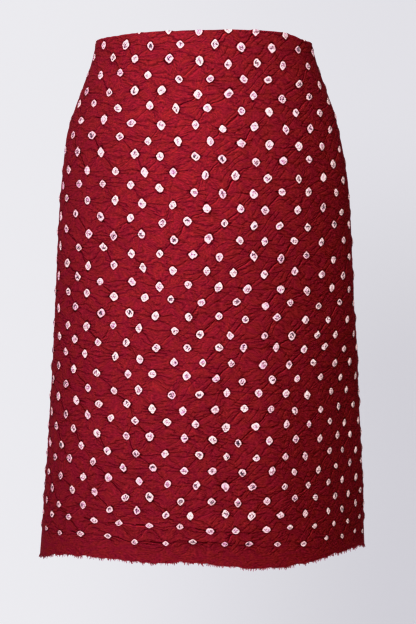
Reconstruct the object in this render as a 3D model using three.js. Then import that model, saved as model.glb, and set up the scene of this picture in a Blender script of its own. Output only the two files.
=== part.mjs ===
// A length of tie-dyed cloth in its worn shape: wrapped once round as a knee-length skirt,
// open at the waist and at the hem, with its two side edges overlapping at the back.
// Millimetres, +Z up. The origin is on the axis of the wrap, in the plane of its top edge,
// the front faces -Y, and the cloth hangs down from there.
import * as THREE from 'three';

// The cut cloth
const CLOTH_WIDTH = 1120;
const THICKNESS = 1.6;
const TURN_IN = 34;

// The turned-in top edge: the radius of its fold, at the middle of the cloth
const FOLD_RADIUS = 1.7;

// The distance between the two layers where they overlap at the back, at the middle of
// the cloth, and the angles from the front between which the spiral opens. The second
// is a full turn past the first one's mirror image, so the distance is the same all over.
const LAYER_PITCH = 7.2;
const SPIRAL_START = 90;
const SPIRAL_END = 360 - SPIRAL_START;

// Steps of the surface
const STEPS_ACROSS = 80;
const STEPS_DOWN = 21;
const STEPS_FOLD = 4;
const STEPS_TURN_IN = 2;
const ANGLE_STEP = 0.5;
const LARGEST_ANGLE = 330;
const SLOPE_STEP = 0.5;

// Sections of the wrap, from the top down. Front and back depth are measured from the axis,
// and turn is how far the section is turned about it, in degrees.
const SECTIONS = [
  { z: 0, halfWidth: 131.6, frontDepth: 82, backDepth: 117, turn: 0 },
  { z: -30, halfWidth: 138.8, frontDepth: 83, backDepth: 120, turn: 0 },
  { z: -60, halfWidth: 149.4, frontDepth: 85, backDepth: 125, turn: 0 },
  { z: -95, halfWidth: 161.5, frontDepth: 89, backDepth: 131, turn: 0 },
  { z: -140, halfWidth: 170.6, frontDepth: 94, backDepth: 135, turn: 0 },
  { z: -200, halfWidth: 177.2, frontDepth: 98, backDepth: 136, turn: 0 },
  { z: -320, halfWidth: 182.4, frontDepth: 104, backDepth: 134, turn: 3 },
  { z: -440, halfWidth: 188.2, frontDepth: 118, backDepth: 135, turn: 6 },
  { z: -540, halfWidth: 195.2, frontDepth: 128, backDepth: 138, turn: 10 },
  { z: -640, halfWidth: 202.8, frontDepth: 136, backDepth: 141, turn: 12 },
];

// The side edges: how far across the cloth they lie, by distance down it. Their upper
// corners slant in, which keeps them at the back where the wrap is narrow. Up to
// STRAIGHT_REACH from the middle, the columns of points run straight down.
const STRAIGHT_REACH = 300;
const SIDE_EDGES = [
  { down: -34, across: 474 },
  { down: 0, across: 478 },
  { down: 40, across: 500 },
  { down: 80, across: 530 },
  { down: 120, across: 552 },
  { down: 160, across: 560 },
  { down: 220, across: 560 },
];

// The hem: how low it hangs, by distance across the cloth from the middle of the front
const HEM = [
  { across: -560, drop: 627 },
  { across: -300, drop: 631 },
  { across: -210, drop: 623 },
  { across: -140, drop: 623 },
  { across: -105, drop: 626.5 },
  { across: -30, drop: 626.5 },
  { across: 0, drop: 630.5 },
  { across: 45, drop: 635 },
  { across: 110, drop: 629 },
  { across: 150, drop: 623.5 },
  { across: 205, drop: 621 },
  { across: 285, drop: 623.5 },
  { across: 560, drop: 627 },
];

// Soft folds of the drape. Each runs in a straight line over the cloth, from one place
// (across, z) to another, rises outwards by its height, or falls inwards where that is
// negative, and is as wide as stated to either side.
const FOLDS = [
  { fromAcross: -140, fromZ: -400, toAcross: 40, toZ: -235, width: 30, height: 3.0 },
  { fromAcross: -185, fromZ: -525, toAcross: 0, toZ: -385, width: 30, height: 3.2 },
  { fromAcross: -60, fromZ: -420, toAcross: 20, toZ: -330, width: 20, height: -2.4 },
  { fromAcross: 56, fromZ: -400, toAcross: 63, toZ: -560, width: 22, height: 3.0 },
  { fromAcross: 14, fromZ: -440, toAcross: 11, toZ: -560, width: 16, height: -2.2 },
  { fromAcross: 64, fromZ: -500, toAcross: 104, toZ: -640, width: 45, height: 5.0 },
  { fromAcross: 38, fromZ: -620, toAcross: 112, toZ: -640, width: 45, height: 3.0 },
  { fromAcross: 184, fromZ: -430, toAcross: 208, toZ: -640, width: 45, height: -6.0 },
  { fromAcross: 232, fromZ: -190, toAcross: 244, toZ: -640, width: 55, height: 2.0 },
  { fromAcross: 238, fromZ: -400, toAcross: 246, toZ: -540, width: 50, height: 3.4 },
  { fromAcross: 60, fromZ: -60, toAcross: 150, toZ: -130, width: 24, height: -2.2 },
  { fromAcross: 90, fromZ: -180, toAcross: 190, toZ: -300, width: 26, height: 2.2 },
  { fromAcross: -190, fromZ: -120, toAcross: -100, toZ: -190, width: 26, height: 2.2 },
  { fromAcross: -90, fromZ: -600, toAcross: 20, toZ: -590, width: 14, height: 1.8 },
];

const radians = THREE.MathUtils.degToRad;
const smoothstep = THREE.MathUtils.smoothstep;

// A smooth curve through one column of a table whose rows rise or fall steadily in another
function alongTable(rows, placeKey, valueKey, place) {
  const rising = rows[1][placeKey] > rows[0][placeKey];
  const passed = (row) => (rising ? row[placeKey] <= place : row[placeKey] >= place);
  const last = rows.length - 1;
  let k = 0;
  while (k < last - 1 && passed(rows[k + 1])) {
    k += 1;
  }
  const slope = (i) => {
    const before = rows[Math.max(i - 1, 0)];
    const after = rows[Math.min(i + 1, last)];
    return (after[valueKey] - before[valueKey]) / (after[placeKey] - before[placeKey]);
  };
  const from = rows[k];
  const to = rows[k + 1];
  const span = to[placeKey] - from[placeKey];
  const t = THREE.MathUtils.clamp((place - from[placeKey]) / span, 0, 1);
  const t2 = t * t;
  const t3 = t2 * t;
  return (
    (2 * t3 - 3 * t2 + 1) * from[valueKey] +
    (t3 - 2 * t2 + t) * span * slope(k) +
    (3 * t2 - 2 * t3) * to[valueKey] +
    (t3 - t2) * span * slope(k + 1)
  );
}

function sectionAt(z) {
  const column = (key) => alongTable(SECTIONS, 'z', key, z);
  return {
    halfWidth: column('halfWidth'),
    frontDepth: column('frontDepth'),
    backDepth: column('backDepth'),
    turn: radians(column('turn')),
  };
}

// How far along a section an angle from the front lies, as a list with one entry a step
function lengthsRound(section) {
  const lengths = [0];
  const stepAngle = radians(ANGLE_STEP);
  for (let k = 1; k * ANGLE_STEP <= LARGEST_ANGLE; k += 1) {
    const angle = (k - 0.5) * stepAngle;
    const depth = Math.cos(angle) >= 0 ? section.frontDepth : section.backDepth;
    const pace = Math.hypot(section.halfWidth * Math.cos(angle), depth * Math.sin(angle));
    lengths.push(lengths[k - 1] + pace * stepAngle);
  }
  return lengths;
}

// The angle from the front at which a distance along the section ends
function angleAt(lengths, across) {
  const distance = Math.abs(across);
  let low = 0;
  let high = lengths.length - 1;
  while (high - low > 1) {
    const middle = (low + high) >> 1;
    if (lengths[middle] <= distance) {
      low = middle;
    } else {
      high = middle;
    }
  }
  const part = (distance - lengths[low]) / (lengths[high] - lengths[low]);
  return Math.sign(across) * (low + part) * ANGLE_STEP;
}

// How far the soft folds lift a place on the cloth
function foldLift(across, z) {
  let lift = 0;
  for (const fold of FOLDS) {
    const runX = fold.toAcross - fold.fromAcross;
    const runZ = fold.toZ - fold.fromZ;
    const run = Math.hypot(runX, runZ);
    const awayX = across - fold.fromAcross;
    const awayZ = z - fold.fromZ;
    const along = (awayX * runX + awayZ * runZ) / run;
    const aside = (awayX * runZ - awayZ * runX) / run;
    const beyond = Math.max(-along, along - run, 0);
    lift += fold.height * Math.exp(-((aside / fold.width) ** 2) - ((beyond / fold.width) ** 2));
  }
  return lift;
}

// The middle of the cloth at a distance across it, z down the wrap and an inset from the
// outermost layer of the turned-in top
function placeOnWrap(across, z, inset) {
  const section = sectionAt(z);
  const degrees = angleAt(lengthsRound(section), across);
  const angle = radians(degrees);
  const depth = Math.cos(angle) >= 0 ? section.frontDepth : section.backDepth;
  const spiral = Math.sign(degrees) * smoothstep(Math.abs(degrees), SPIRAL_START, SPIRAL_END);
  const lift = LAYER_PITCH * spiral + foldLift(across, z) - inset;
  const normal = new THREE.Vector2(depth * Math.sin(angle), -section.halfWidth * Math.cos(angle));
  const flat = new THREE.Vector2(section.halfWidth * Math.sin(angle), -depth * Math.cos(angle));
  flat.addScaledVector(normal.normalize(), lift);
  flat.rotateAround(new THREE.Vector2(0, 0), section.turn);
  return new THREE.Vector3(flat.x, flat.y, z);
}

// The middle of the cloth by distance across it and down it. The distance down is 0 at
// the crest of the top fold and negative on the part that is turned in, and it reaches
// CLOTH_DROP at the hem.
const CLOTH_DROP = 640;
const CREST = (FOLD_RADIUS * Math.PI) / 2;

function clothPoint(across, down) {
  if (Math.abs(down) < CREST) {
    const bend = down / FOLD_RADIUS;
    const z = -FOLD_RADIUS * (1 - Math.cos(bend));
    return placeOnWrap(across, z, FOLD_RADIUS * (1 - Math.sin(bend)));
  }
  const beyondCrest = Math.abs(down) - CREST;
  if (down < 0) {
    return placeOnWrap(across, -FOLD_RADIUS - beyondCrest, 2 * FOLD_RADIUS);
  }
  const hang = alongTable(HEM, 'across', 'drop', across) - FOLD_RADIUS;
  const z = -FOLD_RADIUS - (hang * beyondCrest) / (CLOTH_DROP - CREST);
  return placeOnWrap(across, z, 0);
}

// Where a column of points lies across the cloth. The columns are numbered from -1 to 1.
function acrossAt(column, down) {
  const even = (column * CLOTH_WIDTH) / 2;
  const beyond = Math.abs(even) - STRAIGHT_REACH;
  if (beyond <= 0) {
    return even;
  }
  const edge = alongTable(SIDE_EDGES, 'down', 'across', down);
  const share = beyond / (CLOTH_WIDTH / 2 - STRAIGHT_REACH);
  return Math.sign(column) * (STRAIGHT_REACH + share * (edge - STRAIGHT_REACH));
}

// The outward normal of the cloth, from short steps to either side
function clothNormal(across, down) {
  const right = clothPoint(across + SLOPE_STEP, down);
  const left = clothPoint(across - SLOPE_STEP, down);
  const below = clothPoint(across, down + SLOPE_STEP);
  const above = clothPoint(across, down - SLOPE_STEP);
  return below.sub(above).cross(right.sub(left)).normalize();
}

// The distances down the cloth at which its surface has a row of points
function rowsDown() {
  const rows = [];
  for (let k = 0; k < STEPS_TURN_IN; k += 1) {
    rows.push(THREE.MathUtils.lerp(-TURN_IN, -CREST, k / STEPS_TURN_IN));
  }
  for (let k = 0; k < STEPS_FOLD; k += 1) {
    rows.push(THREE.MathUtils.lerp(-CREST, CREST, k / STEPS_FOLD));
  }
  for (let k = 0; k <= STEPS_DOWN; k += 1) {
    rows.push(THREE.MathUtils.lerp(CREST, CLOTH_DROP, k / STEPS_DOWN));
  }
  return rows;
}

// One closed sheet: the face side, the reverse side and the four edges between them
function clothSheet() {
  const rows = rowsDown();
  const columns = STEPS_ACROSS + 1;
  const sideSize = columns * rows.length;
  const face = [];
  const reverse = [];
  for (const down of rows) {
    for (let i = 0; i < columns; i += 1) {
      const across = acrossAt((2 * i) / STEPS_ACROSS - 1, down);
      const middle = clothPoint(across, down);
      const normal = clothNormal(across, down).multiplyScalar(THICKNESS / 2);
      face.push(...middle.clone().add(normal).toArray());
      reverse.push(...middle.clone().sub(normal).toArray());
    }
  }

  const triangles = [];
  const addQuad = (a, b, c, d) => triangles.push(a, b, c, a, c, d);
  const faceAt = (i, j) => j * columns + i;
  const reverseAt = (i, j) => sideSize + faceAt(i, j);
  const lastColumn = columns - 1;
  const lastRow = rows.length - 1;
  for (let j = 0; j < lastRow; j += 1) {
    for (let i = 0; i < lastColumn; i += 1) {
      addQuad(faceAt(i, j), faceAt(i, j + 1), faceAt(i + 1, j + 1), faceAt(i + 1, j));
      addQuad(reverseAt(i, j), reverseAt(i + 1, j), reverseAt(i + 1, j + 1), reverseAt(i, j + 1));
    }
    addQuad(faceAt(0, j), reverseAt(0, j), reverseAt(0, j + 1), faceAt(0, j + 1));
    addQuad(
      faceAt(lastColumn, j),
      faceAt(lastColumn, j + 1),
      reverseAt(lastColumn, j + 1),
      reverseAt(lastColumn, j),
    );
  }
  for (let i = 0; i < lastColumn; i += 1) {
    addQuad(faceAt(i, 0), faceAt(i + 1, 0), reverseAt(i + 1, 0), reverseAt(i, 0));
    addQuad(
      faceAt(i, lastRow),
      reverseAt(i, lastRow),
      reverseAt(i + 1, lastRow),
      faceAt(i + 1, lastRow),
    );
  }

  const geometry = new THREE.BufferGeometry();
  geometry.setAttribute('position', new THREE.Float32BufferAttribute([...face, ...reverse], 3));
  geometry.setIndex(triangles);
  geometry.computeVertexNormals();
  return geometry;
}

const redCotton = new THREE.MeshStandardMaterial({ color: 0x8a1626, roughness: 0.85, metalness: 0 });
const cloth = new THREE.Mesh(clothSheet(), redCotton);
cloth.name = 'bandhani_cloth';

const wrap = new THREE.Group();
wrap.add(cloth);

export default wrap;
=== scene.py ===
import math

import bmesh
import bpy
import numpy as np
from mathutils import Matrix, Vector


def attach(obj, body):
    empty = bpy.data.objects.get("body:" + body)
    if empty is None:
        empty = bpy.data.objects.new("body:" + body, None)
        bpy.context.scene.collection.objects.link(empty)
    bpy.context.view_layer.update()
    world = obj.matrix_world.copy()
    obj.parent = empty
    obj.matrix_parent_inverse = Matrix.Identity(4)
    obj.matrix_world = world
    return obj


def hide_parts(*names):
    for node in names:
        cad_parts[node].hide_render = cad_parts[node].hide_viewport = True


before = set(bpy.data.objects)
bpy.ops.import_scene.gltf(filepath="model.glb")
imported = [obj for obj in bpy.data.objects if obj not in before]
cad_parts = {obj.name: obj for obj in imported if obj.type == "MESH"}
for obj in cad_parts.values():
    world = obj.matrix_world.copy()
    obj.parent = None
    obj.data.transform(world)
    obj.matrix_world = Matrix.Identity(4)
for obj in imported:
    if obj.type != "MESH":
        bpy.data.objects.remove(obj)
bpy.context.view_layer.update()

bl_info = {
    "name": "Bandhani cloth",
    "version": (1, 0, 0),
    "blender": (4, 5, 0),
    "location": "3D View > Sidebar > Bandhani",
    "description": "Makes a tie-dyed, dotted cloth, wrapped as a skirt length, with a frayed hem",
    "category": "Add Mesh",
}

CLOTH_NODE = "bandhani_cloth"

# The tables are in millimetres and degrees, as in the cloth's construction. Across is the
# distance over the cloth from the middle of the front, to the right, and z is upwards.
MM = 0.001

# Sections of the wrap, from the top down, measured from its axis
SECTIONS = [
    dict(z=0, half_width=131.6, front_depth=82, back_depth=117, turn=0),
    dict(z=-30, half_width=138.8, front_depth=83, back_depth=120, turn=0),
    dict(z=-60, half_width=149.4, front_depth=85, back_depth=125, turn=0),
    dict(z=-95, half_width=161.5, front_depth=89, back_depth=131, turn=0),
    dict(z=-140, half_width=170.6, front_depth=94, back_depth=135, turn=0),
    dict(z=-200, half_width=177.2, front_depth=98, back_depth=136, turn=0),
    dict(z=-320, half_width=182.4, front_depth=104, back_depth=134, turn=3),
    dict(z=-440, half_width=188.2, front_depth=118, back_depth=135, turn=6),
    dict(z=-540, half_width=195.2, front_depth=128, back_depth=138, turn=10),
    dict(z=-640, half_width=202.8, front_depth=136, back_depth=141, turn=12),
]

# How low the hem hangs
HEM = [
    dict(across=-560, drop=627),
    dict(across=-300, drop=631),
    dict(across=-210, drop=623),
    dict(across=-140, drop=623),
    dict(across=-105, drop=626.5),
    dict(across=-30, drop=626.5),
    dict(across=0, drop=630.5),
    dict(across=45, drop=635),
    dict(across=110, drop=629),
    dict(across=150, drop=623.5),
    dict(across=205, drop=621),
    dict(across=285, drop=623.5),
    dict(across=560, drop=627),
]

# Its small unevenness
HEM_WAVES = [
    dict(length=14, height=1.3, seed=51),
    dict(length=5, height=0.8, seed=52),
]

# How much the top edge rises or sinks, which dies out over TOP_FADE
TOP_FADE = 40
TOP_EDGE = [
    dict(across=-560, rise=0),
    dict(across=-125, rise=-1.2),
    dict(across=-90, rise=0),
    dict(across=-60, rise=0.8),
    dict(across=0, rise=1.5),
    dict(across=45, rise=2.6),
    dict(across=95, rise=2.3),
    dict(across=115, rise=0.2),
    dict(across=135, rise=-4.0),
    dict(across=200, rise=-3.0),
    dict(across=300, rise=0),
    dict(across=560, rise=0),
]

# Where the side edges lie, by distance down the cloth. Up to STRAIGHT_REACH from the
# middle, the columns of points run straight down.
STRAIGHT_REACH = 300
SIDE_EDGES = [
    dict(down=-34, across=474),
    dict(down=0, across=478),
    dict(down=40, across=500),
    dict(down=80, across=530),
    dict(down=120, across=552),
    dict(down=160, across=560),
    dict(down=220, across=560),
]

# The grain of the cloth, seen in its rows and columns of dots: half the distance from dot
# to dot in a row, where the middle column lies, the number of the row there, and how much
# the rows fall to the right
GRAIN = [
    dict(z=60, half_pitch=18.1, middle=14.5, row=-20.0, fall=0.038),
    dict(z=0, half_pitch=18.1, middle=11, row=-16.9, fall=0.039),
    dict(z=-100, half_pitch=18.4, middle=6.6, row=-11.73, fall=0.040),
    dict(z=-200, half_pitch=18.4, middle=3.3, row=-6.55, fall=0.042),
    dict(z=-300, half_pitch=18.1, middle=-3.5, row=-1.3, fall=0.042),
    dict(z=-400, half_pitch=17.6, middle=-13.5, row=4.25, fall=0.033),
    dict(z=-500, half_pitch=17.2, middle=-27, row=9.8, fall=0.027),
    dict(z=-580, half_pitch=17.1, middle=-38, row=14.42, fall=0.0245),
    dict(z=-640, half_pitch=17.1, middle=-44, row=18.1, fall=0.0245),
    dict(z=-680, half_pitch=17.1, middle=-48, row=20.55, fall=0.0245),
]
LAST_ROW = 16

# Soft folds of the drape, each in a straight line over the cloth. Height is outwards.
FOLDS = [
    dict(start=(-140, -400), end=(40, -235), width=30, height=3.0),
    dict(start=(-185, -525), end=(0, -385), width=30, height=3.2),
    dict(start=(-60, -420), end=(20, -330), width=20, height=-2.4),
    dict(start=(56, -400), end=(63, -560), width=22, height=3.0),
    dict(start=(14, -440), end=(11, -560), width=16, height=-2.2),
    dict(start=(64, -500), end=(104, -640), width=45, height=5.0),
    dict(start=(38, -620), end=(112, -640), width=45, height=3.0),
    dict(start=(184, -430), end=(208, -640), width=45, height=-6.0),
    dict(start=(232, -190), end=(244, -640), width=55, height=2.0),
    dict(start=(238, -400), end=(246, -540), width=50, height=3.4),
    dict(start=(60, -60), end=(150, -130), width=24, height=-2.2),
    dict(start=(90, -180), end=(190, -300), width=26, height=2.2),
    dict(start=(-190, -120), end=(-100, -190), width=26, height=2.2),
    dict(start=(-90, -600), end=(20, -590), width=14, height=1.8),
]

# Narrow creases that were pressed or gathered into it
CREASES = [
    dict(start=(15, -218), end=(12, -555), width=2.6, height=-0.9),
    dict(start=(27, -485), end=(24, -560), width=2.6, height=-0.9),
    dict(start=(-5, -383), end=(150, -378), width=3.0, height=-0.8),
    dict(start=(-118, -586), end=(32, -589), width=4.5, height=1.6),
    dict(start=(-112, -600), end=(28, -603), width=4.0, height=1.5),
    dict(start=(-12, -606), end=(-10, -626), width=3.0, height=-1.0),
]

# Turned-in top edge and overlap at the back
FOLD_RADIUS = 1.7
CREST = FOLD_RADIUS * math.pi / 2
LAYER_PITCH = 7.2
SPIRAL_START = 90
SPIRAL_END = 360 - SPIRAL_START

# The surface's grid, finer in front, and the steps that the sections are looked up in
FRONT_REACH = 300
COLUMNS_FRONT = 258
COLUMNS_BACK = 62
ROWS_TURN_IN = 9
ROWS_FOLD = 6
ROWS_DOWN = 245
ANGLE_STEP = 0.5
LARGEST_ANGLE = 330
LOWEST_LEVEL = -700
LEVEL_STEP = 4
ACROSS_STEP = 2
LARGEST_ACROSS = 600

# The rows of dots curve up towards the sides by SIDE_RISE, and past SIDE_REACH from the
# middle they neither rise nor fall
SIDE_RISE = 9.0
SIDE_REACH = 300

# For the shapes round a dot, half the distance to the next dot in its row, and the
# distance to the next along a diagonal
HALF_ROW = 18.2
DIAGONAL = 25.4

# How far a dot strays from its place
STRAY_ACROSS = 4.0
STRAY_DOWN = 2.8

# Places along each side of a table of random numbers
RANDOM_TABLE = 64

# How far from the dot its nub reaches, and where the hollow and the small pleats round it
# lie. Nubs at the sides are higher by a share of SIDE_NUBS.
NUB_RADIUS = 5.0
HOLLOW_REACH = 8.5
PLEAT_REACH = 9.0
SIDE_NUBS = 0.7
SIDE_NUBS_FROM = 150
SIDE_NUBS_TO = 220

# Outlines of the dots. DIAMOND is 1 for a diamond and 2 for an ellipse. A dot's size is
# DOT_LEAST and up to DOT_SPREAD more, and those on the right side are smaller.
DIAMOND = 1.45
DOT_LEAST = 0.84
DOT_SPREAD = 0.25
DOT_LEAN = 0.4
DOT_WOBBLE = 0.6
DOT_SHRINK = 0.12
DOT_EDGE = (0.85, 1.07)
RIGHT_SIDE = (60, 220)

# Lines drawn by creases, gathers and pleats: their half widths, how far from a dot the
# creases begin, and how creases and gathers bend
CREASE_LINE = 0.58
GATHER_LINE = 0.7
PLEAT_LINE = 1.5
CREASE_START = (4.5, 7)
BEND_PACE = 2.9
BEND_SIZE = 3.8

# Where the last two rows of dots are gathered, across the cloth
GATHERED_MIDDLE = -60
GATHERED_WIDTH = 75

# The crepe's ripples: the pitches are millimetres from one to the next. Its rows draw
# together at a dot by DRAWN_SHARE, and it is calmer below the last row by CALM_HEM.
RIPPLE_PITCH = 4.6
RIPPLE_DRIFT = 1.1
SLANTED_PITCH = 6.5
DRAWN_REACH = 9
DRAWN_SHARE = 0.9
CALM_HEM = 0.6

# Its unevenness, as noise with so many waves to a millimetre across and down
CREPE = {
    "wrinkles": dict(across=0.035, down=0.4, seed=0.0, detail=0.0, roughness=0.5),
    "drift": dict(across=0.02, down=0.05, seed=2.0, detail=0.0, roughness=0.5),
    "breaks": dict(across=0.045, down=0.24, seed=6.0, detail=0.0, roughness=0.5),
    "small": dict(across=0.1, down=0.55, seed=4.0, detail=1.0, roughness=0.6),
    "grain": dict(across=0.33, down=0.85, seed=9.0, detail=1.0, roughness=0.6),
    "patches": dict(across=0.08, down=0.12, seed=5.0, detail=3.0, roughness=0.5),
}

# The camera's tone curve: light in the scene, and light as shown
TONES = [
    (0, 0),
    (0.01, 0.0012),
    (0.02, 0.0034),
    (0.035, 0.0105),
    (0.05, 0.0185),
    (0.1, 0.045),
    (0.2, 0.109),
    (0.3, 0.187),
    (0.4, 0.287),
    (0.5, 0.425),
    (0.6, 0.57),
    (0.7, 0.70),
    (0.9, 0.86),
    (1.2, 0.95),
    (1.6, 0.99),
    (2.0, 1.0),
]


def along_table(rows, place_key, value_key, places):
    """A smooth curve through one column of a table, whose places rise or fall steadily."""
    rows = sorted(rows, key=lambda row: row[place_key])
    at = np.array([row[place_key] for row in rows], float)
    value = np.array([row[value_key] for row in rows], float)
    last = len(rows) - 1
    before = np.maximum(np.arange(last + 1) - 1, 0)
    after = np.minimum(np.arange(last + 1) + 1, last)
    slope = (value[after] - value[before]) / (at[after] - at[before])
    k = np.clip(np.searchsorted(at, places, side="right") - 1, 0, last - 1)
    span = at[k + 1] - at[k]
    t = np.clip((places - at[k]) / span, 0, 1)
    t2 = t * t
    t3 = t2 * t
    return (
        (2 * t3 - 3 * t2 + 1) * value[k]
        + (t3 - 2 * t2 + t) * span * slope[k]
        + (3 * t2 - 2 * t3) * value[k + 1]
        + (t3 - t2) * span * slope[k + 1]
    )


def smoothstep(value, low, high):
    t = np.clip((value - low) / (high - low), 0, 1)
    return t * t * (3 - 2 * t)


def random_table(seed, channels):
    """Numbers from -1 to 1, the same in each run."""
    return np.random.default_rng(seed).uniform(-1, 1, (RANDOM_TABLE, RANDOM_TABLE, channels))


def table_at(table, i, j):
    return table[i.astype(int) % RANDOM_TABLE, j.astype(int) % RANDOM_TABLE]


def between_cells(table, x, y, still=0):
    """A table's numbers, with a smooth change from each whole place to the next. They
    stay the same up to still from each."""
    i = np.floor(x)
    j = np.floor(y)
    s = smoothstep(x - i, still, 1 - still)[..., None]
    t = smoothstep(y - j, still, 1 - still)[..., None]
    near = table_at(table, i, j) * (1 - s) + table_at(table, i + 1, j) * s
    far = table_at(table, i, j + 1) * (1 - s) + table_at(table, i + 1, j + 1) * s
    return near * (1 - t) + far * t


def noise(x, y, seed):
    return between_cells(random_table(seed, 1), x, y)[..., 0]


class Wrap:
    """The form of the hanging cloth, looked up by distance across it and z."""

    def __init__(self):
        self.levels = np.arange(LOWEST_LEVEL, LEVEL_STEP + 1, LEVEL_STEP, dtype=float)
        self.reach = np.arange(0, LARGEST_ACROSS + 1, ACROSS_STEP, dtype=float)
        middles = np.radians(np.arange(ANGLE_STEP / 2, LARGEST_ANGLE, ANGLE_STEP))
        ends = np.arange(0, len(middles) + 1) * ANGLE_STEP
        self.angles = np.array([self.angles_at(z, middles, ends) for z in self.levels])

    def angles_at(self, z, middles, ends):
        """The angle from the front at each distance across, at one level."""
        half_width, front, back = (
            along_table(SECTIONS, "z", key, z) for key in ("half_width", "front_depth", "back_depth")
        )
        depth = np.where(np.cos(middles) >= 0, front, back)
        pace = np.hypot(half_width * np.cos(middles), depth * np.sin(middles))
        lengths = np.concatenate([[0], np.cumsum(pace * math.radians(ANGLE_STEP))])
        return np.interp(self.reach, lengths, ends)

    def angle(self, across, z):
        level = np.clip((z - self.levels[0]) / LEVEL_STEP, 0, len(self.levels) - 1.001)
        reach = np.clip(np.abs(across) / ACROSS_STEP, 0, len(self.reach) - 1.001)
        i = level.astype(int)
        j = reach.astype(int)
        s = level - i
        t = reach - j
        low = self.angles[i, j] * (1 - t) + self.angles[i, j + 1] * t
        high = self.angles[i + 1, j] * (1 - t) + self.angles[i + 1, j + 1] * t
        return np.sign(across) * (low * (1 - s) + high * s)

    def place(self, across, z, inset):
        """Points on the wrap, inset from its outermost layer."""
        degrees = self.angle(across, z)
        angle = np.radians(degrees)
        half_width, front, back, turn = (
            along_table(SECTIONS, "z", key, z)
            for key in ("half_width", "front_depth", "back_depth", "turn")
        )
        depth = np.where(np.cos(angle) >= 0, front, back)
        spiral = np.sign(degrees) * smoothstep(np.abs(degrees), SPIRAL_START, SPIRAL_END)
        lift = LAYER_PITCH * spiral + lift_of(FOLDS, across, z) - inset
        out_x = depth * np.sin(angle)
        out_y = -half_width * np.cos(angle)
        size = np.hypot(out_x, out_y)
        x = half_width * np.sin(angle) + lift * out_x / size
        y = -depth * np.cos(angle) + lift * out_y / size
        turn = np.radians(turn)
        return np.stack(
            [x * np.cos(turn) - y * np.sin(turn), x * np.sin(turn) + y * np.cos(turn), z], axis=-1
        )


def lift_of(folds, across, z):
    """How far folds or creases lift the cloth."""
    lift = np.zeros_like(across)
    for fold in folds:
        start = np.array(fold["start"], float)
        run = np.array(fold["end"], float) - start
        length = np.hypot(*run)
        away_x = across - start[0]
        away_z = z - start[1]
        along = (away_x * run[0] + away_z * run[1]) / length
        aside = (away_x * run[1] - away_z * run[0]) / length
        beyond = np.maximum(np.maximum(-along, along - length), 0)
        width = fold["width"]
        lift += fold["height"] * np.exp(-((aside / width) ** 2) - (beyond / width) ** 2)
    return lift


def cloth_place(wrap, across, down, drop):
    """Points at the middle of the cloth. Down is 0 at the crest of the top edge, negative
    on the part that is turned in, and drop at the hem."""
    bend = np.clip(down / FOLD_RADIUS, -math.pi / 2, math.pi / 2)
    beyond = np.maximum(np.abs(down) - CREST, 0)
    uneven = sum(
        wave["height"] * noise(across / wave["length"], across * 0, wave["seed"]) for wave in HEM_WAVES
    )
    hang = along_table(HEM, "across", "drop", across) + uneven - FOLD_RADIUS
    pull = np.where(down > 0, hang / (drop - CREST), 1)
    rise = along_table(TOP_EDGE, "across", "rise", across) * np.exp(-((beyond / TOP_FADE) ** 2))
    z = rise - FOLD_RADIUS * (1 - np.cos(bend)) - beyond * pull
    return wrap.place(across, z, FOLD_RADIUS * (1 - np.sin(bend)))


def lattice_at(across, z):
    """Where a place lies among the dots: whole numbers are a dot's middle. The first
    number counts up and to the right, the second down and to the right."""
    half_pitch, middle, fall = (
        along_table(GRAIN, "z", key, z) for key in ("half_pitch", "middle", "fall")
    )
    quarter = math.pi / 2 * np.clip(across / SIDE_REACH, -1, 1)
    sideways = SIDE_REACH * np.sin(quarter) * 2 / math.pi
    level = z + fall * sideways - SIDE_RISE * np.sin(quarter) ** 2
    row = along_table(GRAIN, "z", "row", level)
    column = (across - middle) / half_pitch
    first = (column - row) / 2
    second = (column + row) / 2
    stray = between_cells(random_table(11, 2), first, second, still=0.2)
    stray_column = stray[..., 0] * STRAY_ACROSS / half_pitch
    stray_row = stray[..., 1] * STRAY_DOWN / HALF_ROW
    return first - (stray_column - stray_row) / 2, second - (stray_column + stray_row) / 2


def link_strength(first, second, across):
    """How deep the crease is that runs from one dot to the next, along each diagonal."""
    rising = table_at(random_table(21, 1), np.floor(first), np.rint(second))[..., 0]
    falling = table_at(random_table(22, 1), np.rint(first), np.floor(second))[..., 0]
    rising_share = 0.45 + 0.55 * smoothstep(across, -90, 60)
    falling_share = 0.3 + 0.6 * smoothstep(-across, 20, 140)
    puckered = 1 - smoothstep(second - first, LAST_ROW + 0.1, LAST_ROW + 0.8)
    rising = puckered * rising_share * smoothstep(rising, -0.9, 0.9)
    falling = puckered * falling_share * smoothstep(falling, -0.6, 0.9)
    return rising, falling


def crease_across(distance):
    """The profile of a crease in millimetres: a sharp trough with soft shoulders."""
    away = np.abs(distance)
    shoulders = np.exp(-(((away - 4) / 2.2) ** 2))
    trough = np.exp(-away / 1.4)
    return 0.2 * shoulders - trough


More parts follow.
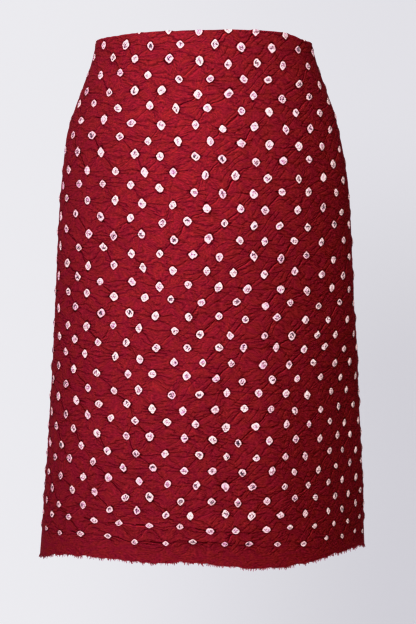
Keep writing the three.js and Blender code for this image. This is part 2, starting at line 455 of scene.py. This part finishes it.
def relief(first, second, across, z, sizes):
    """The height of the puckers and creases, in millimetres along the cloth's normal."""
    near_first = np.rint(first)
    near_second = np.rint(second)
    off_first = first - near_first
    off_second = second - near_second
    x = (off_first + off_second) * HALF_ROW
    y = (off_second - off_first) * HALF_ROW
    r = np.hypot(x, y)
    turn = np.arctan2(y, x)
    random = table_at(random_table(31, 6), near_first, near_second)
    puckered = 1 - smoothstep(second - first, LAST_ROW + 0.3, LAST_ROW + 0.8)

    sides = smoothstep(np.abs(across), SIDE_NUBS_FROM, SIDE_NUBS_TO)
    nub_height = sizes.nub_height / MM * (1 + SIDE_NUBS * sides)
    height = nub_height * (1 + 0.3 * random[..., 0]) * np.exp(-((r / NUB_RADIUS) ** 2))
    height -= 0.2 * nub_height * np.exp(-(((r - HOLLOW_REACH) / 3.0) ** 2))
    pleats = np.cos(4 * turn + math.pi * random[..., 1])
    pleats += np.cos(6 * turn + math.pi * random[..., 2])
    pleats += np.cos(5 * turn + math.pi * random[..., 3])
    height += sizes.pleat_height / MM * pleats / 2 * np.exp(-(((r - PLEAT_REACH) / 4.5) ** 2))
    height *= puckered

    rising, falling = link_strength(first, second, across)
    depth = sizes.crease_depth / MM
    clear = 1 - np.exp(-((r / NUB_RADIUS) ** 4))
    bend = 1.2 * noise(first * 2.3, second * 2.3, 43)
    height += depth * rising * clear * crease_across(off_second * DIAGONAL + bend)
    height += depth * falling * clear * crease_across(off_first * DIAGONAL + bend)

    slack = noise(across / 34 + 9, z / 26 + 5, 41)
    crimps = noise(across / 12 + z / 40, z / 6, 42)
    height += 0.12 * slack
    height += 0.05 * crimps
    height += lift_of(CREASES, across, z)
    return height


def grid_normals(places):
    across = np.gradient(places, axis=1)
    up = np.gradient(places, axis=0)
    normals = np.cross(across, up)
    return normals / np.linalg.norm(normals, axis=-1, keepdims=True)


def rows_of_cloth(sizes):
    """The distances down the cloth of its rows of points, from the hem up."""
    turn_in = sizes.turn_in / MM
    drop = sizes.cloth_drop / MM
    rows = [
        np.linspace(-turn_in, -CREST, ROWS_TURN_IN, endpoint=False),
        np.linspace(-CREST, CREST, ROWS_FOLD, endpoint=False),
        np.linspace(CREST, drop, ROWS_DOWN + 1),
    ]
    return np.concatenate(rows)[::-1]


def columns_of_cloth(sizes):
    """The distances across the cloth of its columns of points, where they run straight."""
    half = sizes.cloth_width / 2 / MM
    columns = [
        np.linspace(-half, -FRONT_REACH, COLUMNS_BACK, endpoint=False),
        np.linspace(-FRONT_REACH, FRONT_REACH, COLUMNS_FRONT, endpoint=False),
        np.linspace(FRONT_REACH, half, COLUMNS_BACK + 1),
    ]
    return np.concatenate(columns)


def slant_in(across, down, sizes):
    """Moves the ends of the cloth's rows to its slanting side edges."""
    edge = along_table(SIDE_EDGES, "down", "across", down)
    beyond = np.maximum(np.abs(across) - STRAIGHT_REACH, 0)
    share = beyond / (sizes.cloth_width / 2 / MM - STRAIGHT_REACH)
    straight = np.minimum(np.abs(across), STRAIGHT_REACH)
    return np.sign(across) * (straight + share * (edge - STRAIGHT_REACH))


def cloth_grid(sizes):
    """The points, lattice places and crease strengths of the whole cloth, as grids."""
    drop = sizes.cloth_drop / MM
    across, down = np.meshgrid(columns_of_cloth(sizes), rows_of_cloth(sizes))
    across = slant_in(across, down, sizes)
    places = cloth_place(Wrap(), across, down, drop)
    crest = along_table(TOP_EDGE, "across", "rise", across)
    unrolled = np.where(down > 0, places[..., 2], crest - down)
    first, second = lattice_at(across, unrolled)
    height = relief(first, second, across, unrolled, sizes)
    places = places + grid_normals(places) * height[..., None]

    # The dots of the last rows are less high
    squash = 1 - 0.3 * smoothstep(second - first, LAST_ROW - 2, LAST_ROW - 0.4)
    creases = np.stack([*link_strength(first, second, across), squash], axis=-1)
    return places, np.stack([first, second], axis=-1), creases


def new_object(name, mesh):
    piece = bpy.data.objects.new(name, mesh)
    bpy.context.scene.collection.objects.link(piece)
    return piece


def mesh_from(bm, name):
    mesh = bpy.data.meshes.new(name)
    bm.to_mesh(mesh)
    bm.free()
    return mesh


def make_cloth(sizes):
    places, lattice, creases = cloth_grid(sizes)
    rows = places.shape[0] - 1
    columns = places.shape[1] - 1
    bm = bmesh.new()
    bmesh.ops.create_grid(bm, x_segments=columns, y_segments=rows, size=0.5)
    mesh = mesh_from(bm, "dotted_cloth")
    flat = np.empty(len(mesh.vertices) * 3)
    mesh.vertices.foreach_get("co", flat)
    flat = flat.reshape(-1, 3)
    i = np.rint((flat[:, 1] + 0.5) * rows).astype(int)
    j = np.rint((flat[:, 0] + 0.5) * columns).astype(int)
    mesh.vertices.foreach_set("co", (places[i, j] * MM).ravel())
    mesh.polygons.foreach_set("use_smooth", np.ones(len(mesh.polygons), bool))

    corners = np.empty(len(mesh.loops), int)
    mesh.loops.foreach_get("vertex_index", corners)
    layer = mesh.uv_layers.new(name="lattice")
    layer.data.foreach_set("uv", lattice[i, j][corners].ravel())
    strengths = mesh.attributes.new("creases", "FLOAT_VECTOR", "POINT")
    strengths.data.foreach_set("vector", creases[i, j].ravel())
    mesh.update()
    return new_object("dotted_cloth", mesh)


class Socket:
    """One output in a material's nodes. An expression on it adds its Math nodes."""

    def __init__(self, graph, output):
        self.graph = graph
        self.output = output

    def math(self, operation, *values):
        return self.graph.node("ShaderNodeMath", {"operation": operation}, dict(enumerate(values)))

    def __add__(self, other):
        return self.math("ADD", self, other)

    def __radd__(self, other):
        return self.math("ADD", other, self)

    def __sub__(self, other):
        return self.math("SUBTRACT", self, other)

    def __rsub__(self, other):
        return self.math("SUBTRACT", other, self)

    def __mul__(self, other):
        return self.math("MULTIPLY", self, other)

    def __rmul__(self, other):
        return self.math("MULTIPLY", other, self)

    def __truediv__(self, other):
        return self.math("DIVIDE", self, other)

    def __pow__(self, other):
        return self.math("POWER", self, other)

    def __abs__(self):
        return self.math("ABSOLUTE", self)

    def floor(self):
        return self.math("FLOOR", self)

    def wave(self):
        """How far this is past the middle between two whole numbers, -0.5 to 0.5."""
        return self - self.floor() - 0.5

    def bell(self, width):
        """1 where this is 0, falling to nothing a few widths away."""
        return self.math("EXPONENT", self.math("POWER", abs(self) / width, 2) * -1)

    def step(self, low, high):
        """A smooth step from 0 at low to 1 at high."""
        settings = {"interpolation_type": "SMOOTHSTEP"}
        inputs = {"Value": self, "From Min": low, "From Max": high}
        return self.graph.node("ShaderNodeMapRange", settings, inputs)


class Graph:
    """The nodes of one material."""

    def __init__(self, name):
        self.material = bpy.data.materials.new(name)
        self.material.use_nodes = True
        self.tree = self.material.node_tree
        self.shader = self.tree.nodes["Principled BSDF"]

    def node(self, kind, settings=None, inputs=None, output=0):
        """Adds a node, sets it up, and gives one of its outputs."""
        made = self.tree.nodes.new(kind)
        for name, value in (settings or {}).items():
            setattr(made, name, value)
        self.feed(made, inputs or {})
        return Socket(self, made.outputs[output])

    def feed(self, made, inputs):
        for name, value in inputs.items():
            if isinstance(value, Socket):
                self.tree.links.new(value.output, made.inputs[name])
            else:
                made.inputs[name].default_value = value

    def vector(self, x, y, z):
        return self.node("ShaderNodeCombineXYZ", inputs={0: x, 1: y, 2: z})

    def split(self, vector):
        """The three parts of a vector."""
        x = self.node("ShaderNodeSeparateXYZ", inputs={0: vector})
        return [Socket(self, output) for output in x.output.node.outputs]

    def noise(self, vector, scale, detail, roughness=0.5):
        inputs = {"Vector": vector, "Scale": scale, "Detail": detail, "Roughness": roughness}
        return self.node("ShaderNodeTexNoise", {"noise_dimensions": "3D"}, inputs)

    def noise_at(self, x, y, z, detail=0.0, roughness=0.5):
        return self.noise(self.vector(x, y, z), 1.0, detail, roughness)

    def random(self, vector):
        """Three even random numbers from 0 to 1 for each different vector."""
        settings = {"noise_dimensions": "3D"}
        return self.split(self.node("ShaderNodeTexWhiteNoise", settings, {"Vector": vector}, 1))

    def mix(self, factor, first, second, blend="MIX"):
        settings = {"data_type": "RGBA", "blend_type": blend}
        return self.node("ShaderNodeMix", settings, {0: factor, 6: first, 7: second}, 2)


def colour(rgb):
    return (rgb[0], rgb[1], rgb[2], 1.0)


class ClothPlaces:
    """Where a point lies on the cloth, for its material. x and y are how far it lies to
    the right of its nearest dot and below it, in millimetres."""

    def __init__(self, graph):
        lattice = graph.node("ShaderNodeUVMap", {"uv_map": "lattice"})
        self.first, self.second, _ = graph.split(lattice)
        creases = graph.node("ShaderNodeAttribute", {"attribute_name": "creases"}, output=1)
        self.rising, self.falling, self.squash = graph.split(creases)
        dot_first = (self.first + 0.5).floor()
        dot_second = (self.second + 0.5).floor()
        self.off_first = self.first - dot_first
        self.off_second = self.second - dot_second
        self.x = (self.off_first + self.off_second) * HALF_ROW
        self.y = (self.off_second - self.off_first) * HALF_ROW
        self.reach = (self.x * self.x + self.y * self.y) ** 0.5
        self.clear = self.reach.step(*CREASE_START)

        # Each dot's own random numbers, for its size, its lean, its tint, the side of its
        # gather and how far its marks are smeared
        self.wide, self.tall, self.lean = graph.random(graph.vector(dot_first, dot_second, 0.0))
        own = graph.random(graph.vector(dot_first, dot_second, 7.0))
        self.tint, self.lopsided, self.smear = own

        # Its dot is tied down to the last row, and gathered in the last two rows at the left
        dot_row = dot_second - dot_first
        self.tied = dot_row.step(LAST_ROW + 0.6, LAST_ROW + 0.4)
        self.column = (self.first + self.second) * HALF_ROW
        self.side = self.column.step(*RIGHT_SIDE)
        gathered_rows = dot_row.step(LAST_ROW - 1.6, LAST_ROW - 0.9)
        self.gathered = gathered_rows * (self.column - GATHERED_MIDDLE).bell(GATHERED_WIDTH)

        # The rows of the crepe draw together at the dots, and calm down below the last row
        drawn = self.reach.bell(DRAWN_REACH) * DRAWN_SHARE
        self.row = (self.second - self.first) * HALF_ROW + self.y * drawn
        below = (self.second - self.first).step(LAST_ROW + 0.2, LAST_ROW + 1.0)
        self.puckered = 1 - CALM_HEM * below

        # The small bends of the creases and gathers, in millimetres
        bends = graph.noise_at(self.first * BEND_PACE, self.second * BEND_PACE, 3.0, 1.0)
        self.bend = (bends - 0.5) * BEND_SIZE


def dot_outline(graph, at, sizes):
    """How far out a point lies in its dot, a rounded diamond, where the edge is about 1."""
    size = 1 - DOT_SHRINK * at.side
    half_width = sizes.dot_width / MM / 2 * (DOT_LEAST + DOT_SPREAD * at.wide) * size
    half_height = sizes.dot_height / MM / 2 * (DOT_LEAST + DOT_SPREAD * at.tall) * at.squash * size
    leaning = at.x + at.y * (at.lean - 0.5) * DOT_LEAN
    wobble = graph.noise_at(at.x * 0.22, at.y * 0.22, at.wide * 40, 1.0)
    outline = (abs(leaning) / half_width) ** DIAMOND + (abs(at.y) / half_height) ** DIAMOND
    return outline ** (1 / DIAMOND) + (wobble - 0.5) * DOT_WOBBLE


def dot_colour(graph, at, outline, colours):
    """The whites of a dot, with the pink and the dark strokes that its tie leaves."""
    turn = at.smear * 1.3 - 0.1
    along = (at.x + at.y * turn) * 0.34
    aside = (at.y - at.x * turn) * 0.16
    strokes = graph.noise_at(along, aside, at.tall * 60, 1.0) - 0.5
    strokes = strokes.bell(0.086 - 0.03 * at.side) * (1 - outline.step(0.5, 0.85))
    blush = graph.noise_at(at.x * 0.3, at.y * 0.3, at.lean * 80, 1.0).step(0.40, 0.66)
    blush = blush * (1 - outline.step(0.55, 1.0)) * (0.4 + 0.6 * at.smear)

    # Some dots are whiter at random; towards the right, on the shaded side, all are painted whiter and
    # less pink: painted light
    whiter_and_painted_light = at.tint * 0.7 * (1 - at.side) + at.side
    inside = graph.mix(whiter_and_painted_light, colour(colours.resist), colour(colours.bleached_and_painted_light))
    inside = graph.mix(blush * (1 - 0.65 * at.side), inside, colour(colours.blush))
    strength = 0.7 + 0.3 * at.lopsided.step(0.3, 0.7)
    return graph.mix(strokes * strength, inside, colour(colours.mark))


def fine_pleats(graph, at):
    """Thin pleats that run into each dot, and the sides of the dot on which they lie."""
    away = at.reach + 0.5
    right = at.x / away
    down = at.y / away
    spin = graph.noise_at(right * 3.2, down * 3.2, at.tint * 50 + at.reach * 0.03) - 0.5
    sides = graph.noise_at(right * 1.3, down * 1.3, at.lopsided * 50 + 20)
    pleats = (spin * away).bell(PLEAT_LINE) * sides.step(0.5, 0.62)
    return pleats * (at.reach - PLEAT_REACH).bell(5) * at.tied, sides


def dot_gathers(at):
    """A gather across the cloth beside a dot, and its lit edge below. In the last rows at
    the left they run from dot to dot."""
    slope = (at.tint - 0.5) * 0.5 * (1 - at.gathered)
    aside = at.y + at.x * slope + at.bend * (0.8 - at.gathered * 0.4)
    ends = (7 + at.gathered * 20, 8 + 10 * at.tall + at.gathered * 25)
    one_side = (at.x * (at.lopsided - 0.5)).step(0.3, 1.5) + at.gathered
    share = (1 - abs(at.x).step(*ends)) * one_side * at.reach.step(4.5, 6.5) * at.tied
    gathers = aside.bell(GATHER_LINE - at.gathered * 0.1) * share
    return gathers, (aside - 1.5).bell(0.6) * share * at.gathered


def dot_creases(at):
    """The creases from dot to dot, and the lit side of those that rise to the right."""
    rising = at.off_second * DIAGONAL + at.bend
    falling = at.off_first * DIAGONAL + at.bend
    creases = rising.bell(CREASE_LINE) * at.rising + falling.bell(CREASE_LINE) * at.falling
    return creases * at.clear, (rising - 1.35).bell(0.6) * at.rising * at.clear


def crepe_noise(graph, at, name):
    """One kind of unevenness of the crepe, from 0 to 1."""
    kind = CREPE[name]
    place = (at.column * kind["across"], at.row * kind["down"], kind["seed"])
    return graph.noise_at(*place, kind["detail"], kind["roughness"])


def crepe_ripples(graph, at):
    """Broken fine ripples across the cloth."""
    phase = at.row / RIPPLE_PITCH + crepe_noise(graph, at, "drift") * RIPPLE_DRIFT
    broken = crepe_noise(graph, at, "breaks").step(0.44, 0.58)
    return phase.wave().bell(0.13) * broken * at.puckered


def slanted_ripples(graph, at):
    """Broken ripples beside the rising creases, towards the right, and their lit ridges."""
    swerve = graph.noise_at(at.first * 1.2, at.second * 1.5, 8.0) * 1.5
    phase = (at.second * DIAGONAL / SLANTED_PITCH + swerve).wave()
    broken = graph.noise_at(at.first * 1.9, at.second * 3.0, 12.0).step(0.46, 0.6)
    share = broken * at.column.step(-150, 60) * at.clear * (1 + 0.35 * at.side) * at.puckered
    return phase.bell(0.11) * share, (phase - 0.22).bell(0.1) * share


def dyed_cloth(sizes, colours):
    """The dyed cloth: red ground, resist dots with their marks, creases and crepe."""
    graph = Graph("dyed_cloth")
    at = ClothPlaces(graph)
    outline = dot_outline(graph, at, sizes)
    white = (1 - outline.step(*DOT_EDGE)) * at.tied
    # A ring just outside each dot: painted shadow round its raised nub, also sunk in the bump
    rim = (outline - 1.2).bell(0.17) * at.tied
    pleats, sides = fine_pleats(graph, at)
    gathers, lit_gathers = dot_gathers(at)
    creases, lit_creases = dot_creases(at)
    ripples = crepe_ripples(graph, at)
    slanted, ridges = slanted_ripples(graph, at)
    wrinkles = crepe_noise(graph, at, "wrinkles") - 0.5
    small = crepe_noise(graph, at, "small") - 0.5
    grain = crepe_noise(graph, at, "grain") - 0.5

    # Painted shade and painted highlights of the folds on the dye, and painted shade towards the right
    # Painted shade: the creases, ripples, pleats and gathers are darkened in the colour
    dark = creases.step(0.05, 0.7) * 0.46 + ripples * 0.18 + slanted * 0.14 + pleats * 0.08
    dark = dark + gathers * (0.5 - at.gathered * 0.15)
    # Random tone of the crepe, with painted highlights on the lit sides of the creases, ridges and
    # gathers
    light = 1 + small * 0.4 + grain * 1.3 * (1 + at.side) + wrinkles * 0.1
    light = light + lit_creases * (0.5 + at.side * 0.3) + ridges * 0.18 + lit_gathers * 0.28
    # Painted shadow in the ring round each dot, patchy
    edge = 1 - rim * (0.27 + 0.5 * sides.step(0.4, 0.6))
    # Painted shade: the ground is darker towards the right and low in the middle, where shade falls
    deep = 1 - 0.16 * at.column.step(-70, 220)
    deep = deep - 0.035 * (at.column + 20).bell(60) * at.row.step(-150, 100)
    shade = light * (1 - dark) * edge * deep
    # Painted shade: the ground is also less blue towards the right
    painted_shade_less_blue = 1 - 0.16 * at.column.step(-80, 160)
    patches = crepe_noise(graph, at, "patches").step(0.38, 0.62)
    ground = graph.mix(patches, colour(colours.crimson), colour(colours.brick))
    ground = graph.mix(1.0, ground, graph.vector(shade, shade, shade * painted_shade_less_blue), "MULTIPLY")
    face = graph.mix(white, ground, dot_colour(graph, at, outline, colours))

    # Fine relief in millimetres
    height = wrinkles * at.puckered * 0.55 + small * 0.25 + grain * 0.3
    height = height - rim * 0.4 - pleats * 0.15 - ripples * 0.7 - slanted * 0.65
    height = height - creases - gathers * 0.7
    relief_inputs = {"Strength": 1.0, "Distance": MM, "Height": height}
    shader = {
        "Base Color": face,
        "Roughness": 0.85,
        "Normal": graph.node("ShaderNodeBump", inputs=relief_inputs),
        "Specular IOR Level": 0.04,
    }
    graph.feed(graph.shader, shader)
    return graph.material


def thread_material(colours):
    """Loose hem threads, from deep red to the paler red of worn ends."""
    graph = Graph("hem_threads")
    place = graph.node("ShaderNodeTexCoord", output="Object")
    blend = graph.noise(place, 900.0, 1.0).step(0.35, 0.65)
    ground = graph.mix(blend, colour(colours.crimson), colour(colours.worn))
    graph.feed(graph.shader, {"Base Color": ground, "Roughness": 0.8, "Specular IOR Level": 0.12})
    return graph.material


def wall_material(stage):
    """The backdrop's painted light: it glows, brighter at the left and at the top."""
    graph = Graph("stage_painted_glow")
    place = graph.node("ShaderNodeTexCoord", output="Object")
    x, _, z = graph.split(place)
    left, right = -0.75, 0.75
    high, low = 0.45, -0.6
    # Painted light: the glow dims towards the right and towards the bottom
    dimming = x.step(left, right) * (0.45 + 0.55 * z.step(high, low))
    glow = graph.mix(dimming, colour(stage.pale), colour(stage.dim))
    grey = (0.25, 0.25, 0.25, 1)
    paint = {
        "Base Color": grey,
        "Emission Color": glow,
        "Emission Strength": stage.glow,
        "Roughness": 1.0,
        "Specular IOR Level": 0.0,
    }
    graph.feed(graph.shader, paint)
    return graph.material


def make_threads(sizes):
    """Short loose threads along the raw hem, as one joined mesh."""
    width = sizes.cloth_width / MM
    drop = sizes.cloth_drop / MM
    random = np.random.default_rng(5)
    across = np.sort(random.uniform(-width / 2, width / 2, sizes.thread_count))
    down = np.full_like(across, drop)
    near = 2.0
    wrap = Wrap()
    ends = cloth_place(wrap, across, down, drop)
    above = cloth_place(wrap, across, down - near, drop)
    beside = cloth_place(wrap, across + near, down, drop)
    first, second = lattice_at(across, ends[:, 2])
    lift = relief(first, second, across, ends[:, 2], sizes)
    falling = ends - above
    sideways = beside - ends
    outward = np.cross(falling, sideways)
    outward /= np.linalg.norm(outward, axis=1, keepdims=True)
    ends = ends + outward * lift[:, None]

    bm = bmesh.new()
    longest = sizes.thread_length / MM
    held_in_hem = 0.8
    for end, fall, side, out in zip(ends, falling, sideways, outward):
        length = longest * (0.3 + 0.7 * random.random() ** 2)
        way = Vector(fall).normalized() + Vector(side).normalized() * random.normal(0, 0.35)
        way = (way + Vector(out) * random.normal(0.05, 0.25)).normalized()
        middle = Vector(end) + way * (length / 2 - held_in_hem)
        turn = way.to_track_quat("Z", "Y").to_matrix().to_4x4()
        bmesh.ops.create_cone(
            bm,
            cap_ends=True,
            segments=3,
            radius1=sizes.thread_width / 2,
            radius2=sizes.thread_width / 4,
            depth=length * MM,
            matrix=Matrix.Translation(middle * MM) @ turn,
        )
    return new_object("hem_threads", mesh_from(bm, "hem_threads"))


class BandhaniSizes(bpy.types.PropertyGroup):
    cloth_width: bpy.props.FloatProperty(
        name="Cloth width", description="Width of the cut cloth, round the wrap", default=1.12,
        unit="LENGTH",
    )
    cloth_drop: bpy.props.FloatProperty(
        name="Cloth drop", description="Length of the cut cloth from the top edge to the hem",
        default=0.64, unit="LENGTH",
    )
    turn_in: bpy.props.FloatProperty(
        name="Turn-in", description="Depth of the part turned in at the top", default=0.034,
        unit="LENGTH",
    )
    dot_width: bpy.props.FloatProperty(
        name="Dot width", description="Width of a resist dot", default=0.0100, unit="LENGTH",
    )
    dot_height: bpy.props.FloatProperty(
        name="Dot height", description="Height of a resist dot", default=0.0106, unit="LENGTH",
    )
    nub_height: bpy.props.FloatProperty(
        name="Nub height", description="How far a tied dot stands out", default=0.0011,
        unit="LENGTH",
    )
    pleat_height: bpy.props.FloatProperty(
        name="Pleat height", description="Height of the small pleats round a dot",
        default=0.0003, unit="LENGTH",
    )
    crease_depth: bpy.props.FloatProperty(
        name="Crease depth", description="Depth of the creases from dot to dot", default=0.0007,
        unit="LENGTH",
    )
    thread_length: bpy.props.FloatProperty(
        name="Thread length", description="Longest loose thread at the hem", default=0.0045,
        unit="LENGTH",
    )
    thread_width: bpy.props.FloatProperty(
        name="Thread width", description="Thickness of a loose thread", default=0.0009,
        unit="LENGTH",
    )
    thread_count: bpy.props.IntProperty(
        name="Threads", description="Loose threads along the hem", default=1300, min=1,
    )


class BandhaniColours(bpy.types.PropertyGroup):
    crimson: bpy.props.FloatVectorProperty(
        name="Crimson", description="Cooler red of the ground", subtype="COLOR",
        default=(0.242, 0.0185, 0.036),
    )
    brick: bpy.props.FloatVectorProperty(
        name="Brick", description="Warmer red of the ground", subtype="COLOR",
        default=(0.248, 0.0225, 0.030),
    )
    resist: bpy.props.FloatVectorProperty(
        name="Resist white", description="Undyed white of the dots", subtype="COLOR",
        default=(0.90, 0.60, 0.66),
    )
    # Whiter white of some dots at random, and the painted light of all dots towards the right, on the
    # shaded side
    bleached_and_painted_light: bpy.props.FloatVectorProperty(
        name="Bleached white", description="Purer white of some dots", subtype="COLOR",
        default=(0.98, 0.77, 0.75),
    )
    blush: bpy.props.FloatVectorProperty(
        name="Blush", description="Pink where the dye crept in", subtype="COLOR",
        default=(0.78, 0.42, 0.62),
    )
    mark: bpy.props.FloatVectorProperty(
        name="Mark", description="Dark marks in the dots", subtype="COLOR",
        default=(0.045, 0.02, 0.045),
    )
    worn: bpy.props.FloatVectorProperty(
        name="Worn red", description="Paler red of loose threads", subtype="COLOR",
        default=(0.30, 0.03, 0.045),
    )


class BandhaniStage(bpy.types.PropertyGroup):
    pale: bpy.props.FloatVectorProperty(
        name="Backdrop, left", description="Colour of the backdrop's light at the left",
        subtype="COLOR", default=(0.66, 0.655, 0.715),
    )
    dim: bpy.props.FloatVectorProperty(
        name="Backdrop, right", description="Colour of its light low down at the right",
        subtype="COLOR", default=(0.46, 0.455, 0.495),
    )
    glow: bpy.props.FloatProperty(
        name="Backdrop light", description="Strength of the backdrop's light", default=1.0,
    )
    floor_depth: bpy.props.FloatProperty(
        name="Floor depth", description="How far the floor lies below the top edge",
        default=1.6, unit="LENGTH",
    )
    wall_distance: bpy.props.FloatProperty(
        name="Backdrop distance", description="How far behind the cloth the backdrop stands",
        default=4.8, unit="LENGTH",
    )
    camera_distance: bpy.props.FloatProperty(
        name="Camera distance", description="From the axis of the wrap", default=2.6,
        unit="LENGTH",
    )
    key_angle: bpy.props.FloatProperty(
        name="Key angle", description="How far round to the left the key light stands, in degrees",
        default=23,
    )
    key_rise: bpy.props.FloatProperty(
        name="Key rise", description="How far the key light looks down, in degrees", default=25,
    )
    key_distance: bpy.props.FloatProperty(
        name="Key distance", description="From the middle of its pool", default=2.2,
        unit="LENGTH",
    )
    key_power: bpy.props.FloatProperty(
        name="Key power", description="Power of the key light in watts", default=256,
    )
    pool_side: bpy.props.FloatProperty(
        name="Pool side", description="Middle of the key light's pool, to the right of the axis",
        default=0.04, unit="LENGTH",
    )
    pool_depth: bpy.props.FloatProperty(
        name="Pool depth", description="Middle of the key light's pool, below the top edge",
        default=0.20, unit="LENGTH",
    )
    pool_width: bpy.props.FloatProperty(
        name="Pool width", description="Width of the key light's cone, in degrees", default=13,
    )
    pool_height: bpy.props.FloatProperty(
        name="Pool height", description="Height of the key light's cone, in degrees", default=54,
    )
    ambient: bpy.props.FloatProperty(
        name="Ambient light", description="Strength of the light from all round", default=0.78,
    )


class BANDHANI_OT_cloth(bpy.types.Operator):
    """Makes the dotted cloth and its loose hem threads"""

    bl_idname = "bandhani.make_cloth"
    bl_label = "Make cloth"

    def execute(self, context):
        sizes = context.scene.bandhani_sizes
        colours = context.scene.bandhani_colours
        cloth = make_cloth(sizes)
        cloth.data.materials.append(dyed_cloth(sizes, colours))
        threads = make_threads(sizes)
        threads.data.materials.append(thread_material(colours))
        for piece in (cloth, threads):
            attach(piece, "root")
        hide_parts(CLOTH_NODE)
        return {"FINISHED"}


class BANDHANI_OT_stage(bpy.types.Operator):
    """Makes the floor, the backdrop, the lights and the camera"""

    bl_idname = "bandhani.make_stage"
    bl_label = "Make stage"

    def execute(self, context):
        stage = context.scene.bandhani_stage
        make_backdrop(stage)
        make_lights(context.scene, stage)
        set_tones(context.scene)
        make_camera(context.scene, stage)
        return {"FINISHED"}


def make_backdrop(stage):
    """A plain floor and a wall behind it."""
    size = 14.0
    # The floor and the wall both glow with this painted light
    material = wall_material(stage)
    upright = Matrix.Rotation(math.pi / 2, 4, "X")
    floor_place = Matrix.Translation((0, 0, -stage.floor_depth))
    wall_place = Matrix.Translation((0, stage.wall_distance, 0)) @ upright
    for name, place in (("stage_floor", floor_place), ("stage_wall", wall_place)):
        bm = bmesh.new()
        bmesh.ops.create_grid(bm, x_segments=4, y_segments=4, size=size / 2, matrix=place)
        piece = new_object(name, mesh_from(bm, name))
        piece.data.materials.append(material)


def make_lights(scene, stage):
    """A key light from the left front, in a narrow upright pool, and even light all round."""
    aim = Vector((stage.pool_side, 0, -stage.pool_depth))
    across = math.radians(stage.key_angle)
    up = math.radians(stage.key_rise)
    way = Vector((-math.sin(across) * math.cos(up), -math.cos(across) * math.cos(up), math.sin(up)))
    key = bpy.data.lights.new("key_light", "SPOT")
    key.energy = stage.key_power
    key.shadow_soft_size = 0.2
    key.spot_size = math.radians(stage.pool_height)
    key.spot_blend = 1.0
    key_object = bpy.data.objects.new("key_light", key)
    key_object.location = aim + way * stage.key_distance
    key_object.rotation_euler = (-way).to_track_quat("-Z", "Y").to_euler()
    pool_share = math.tan(math.radians(stage.pool_width / 2)) / math.tan(key.spot_size / 2)
    key_object.scale = (pool_share, 1, 1)
    scene.collection.objects.link(key_object)

    world = bpy.data.worlds.new("studio")
    world.use_nodes = True
    background = world.node_tree.nodes["Background"]
    warm_white = (1.0, 0.985, 0.94, 1.0)
    background.inputs["Color"].default_value = warm_white
    background.inputs["Strength"].default_value = stage.ambient
    scene.world = world


def set_tones(scene):
    """A tone curve like a camera's: deep in the dark reds, and soft near white."""
    view = scene.view_settings
    view.view_transform = "Standard"
    view.use_curve_mapping = True
    mapping = view.curve_mapping
    mapping.clip_max_x = TONES[-1][0]
    points = mapping.curves[3].points
    points[0].location = TONES[0]
    points[1].location = TONES[-1]
    for light, shown in TONES[1:-1]:
        points.new(light, shown)
    mapping.update()


def make_camera(scene, stage):
    """A level camera face on to the cloth, half-way down it."""
    camera = bpy.data.cameras.new("camera")
    focal_pixels = 2113.8
    frame_height = 624
    right = 4.9 * MM
    down = 334.6 * MM
    camera.lens = camera.sensor_width * focal_pixels / frame_height
    camera_object = bpy.data.objects.new("camera", camera)
    camera_object.location = (right, -stage.camera_distance, -down)
    camera_object.rotation_euler = (math.pi / 2, 0, 0)
    scene.collection.objects.link(camera_object)
    scene.camera = camera_object


class BANDHANI_PT_panel(bpy.types.Panel):
    """Sizes, colours and steps of the bandhani cloth"""

    bl_label = "Bandhani cloth"
    bl_idname = "BANDHANI_PT_panel"
    bl_space_type = "VIEW_3D"
    bl_region_type = "UI"
    bl_category = "Bandhani"

    def draw(self, context):
        scene = context.scene
        for group in (scene.bandhani_sizes, scene.bandhani_colours, scene.bandhani_stage):
            box = self.layout.box()
            for name in group.__annotations__:
                box.prop(group, name)
        self.layout.operator(BANDHANI_OT_cloth.bl_idname)
        self.layout.operator(BANDHANI_OT_stage.bl_idname)


CLASSES = (
    BandhaniSizes,
    BandhaniColours,
    BandhaniStage,
    BANDHANI_OT_cloth,
    BANDHANI_OT_stage,
    BANDHANI_PT_panel,
)


def register():
    for made in CLASSES:
        bpy.utils.register_class(made)
    bpy.types.Scene.bandhani_sizes = bpy.props.PointerProperty(type=BandhaniSizes)
    bpy.types.Scene.bandhani_colours = bpy.props.PointerProperty(type=BandhaniColours)
    bpy.types.Scene.bandhani_stage = bpy.props.PointerProperty(type=BandhaniStage)


def unregister():
    del bpy.types.Scene.bandhani_stage
    del bpy.types.Scene.bandhani_colours
    del bpy.types.Scene.bandhani_sizes
    for made in reversed(CLASSES):
        bpy.utils.unregister_class(made)


def main():
    register()
    bpy.ops.bandhani.make_cloth()
    bpy.ops.bandhani.make_stage()


if __name__ == "__main__":
    main()
